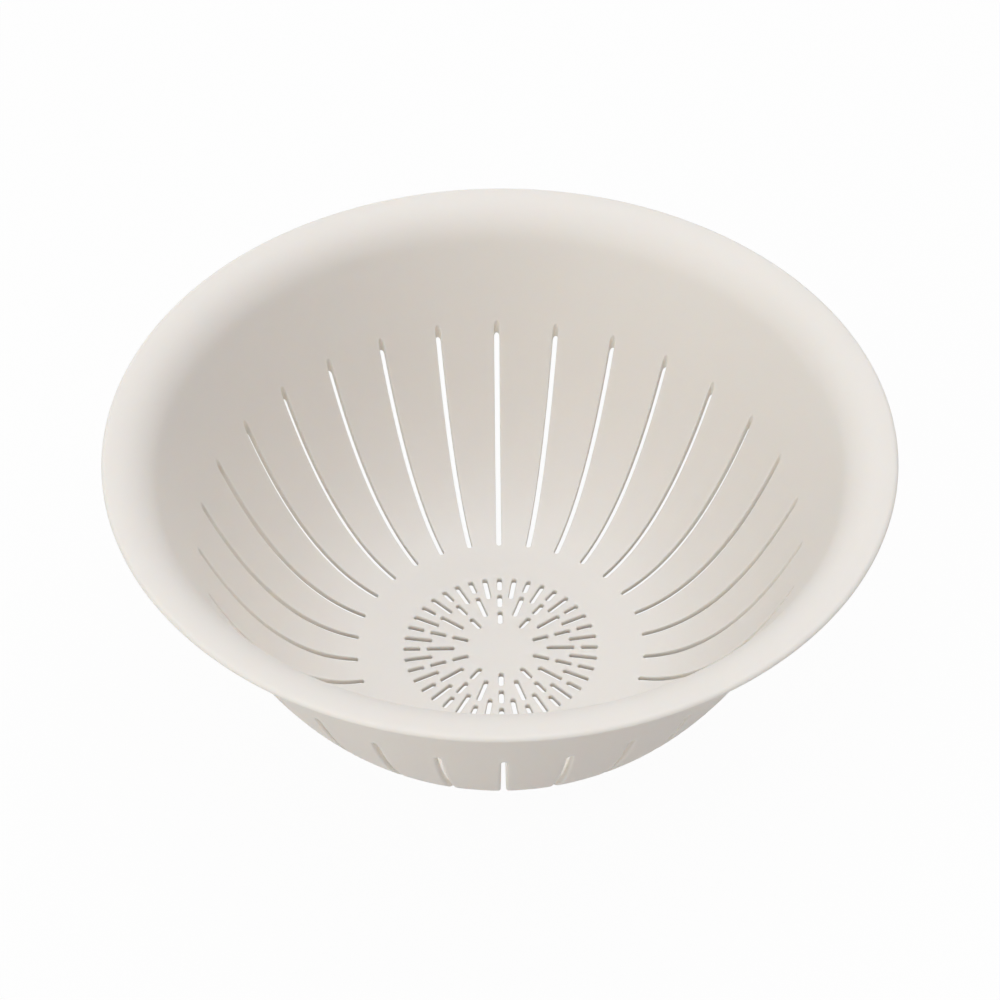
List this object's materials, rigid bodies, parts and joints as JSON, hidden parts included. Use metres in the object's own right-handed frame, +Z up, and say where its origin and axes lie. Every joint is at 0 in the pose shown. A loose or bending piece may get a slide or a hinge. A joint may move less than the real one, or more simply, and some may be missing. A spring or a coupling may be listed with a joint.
{
  "type": "colander",
  "caption": "Round moulded kitchen colander with a wide rolled lip, narrow draining slits down the wall, a rosette of short slits in the floor and a low foot ring.",
  "frame": {"origin": "centre of the foot ring, on the plane that the colander stands on", "axes": "+Z up along the bowl's axis; the spokes of the slits are counted from +Y, which is the far side in the picture, and -Y faces the camera"},
  "size_m": [0.25, 0.25, 0.1004],
  "materials": {
    "moulded_plastic": "warm off-white polypropylene with a fine satin mould finish"
  },
  "bodies": {
    "root": {"colander_bowl": "moulded_plastic"}
  },
  "joints": []
}
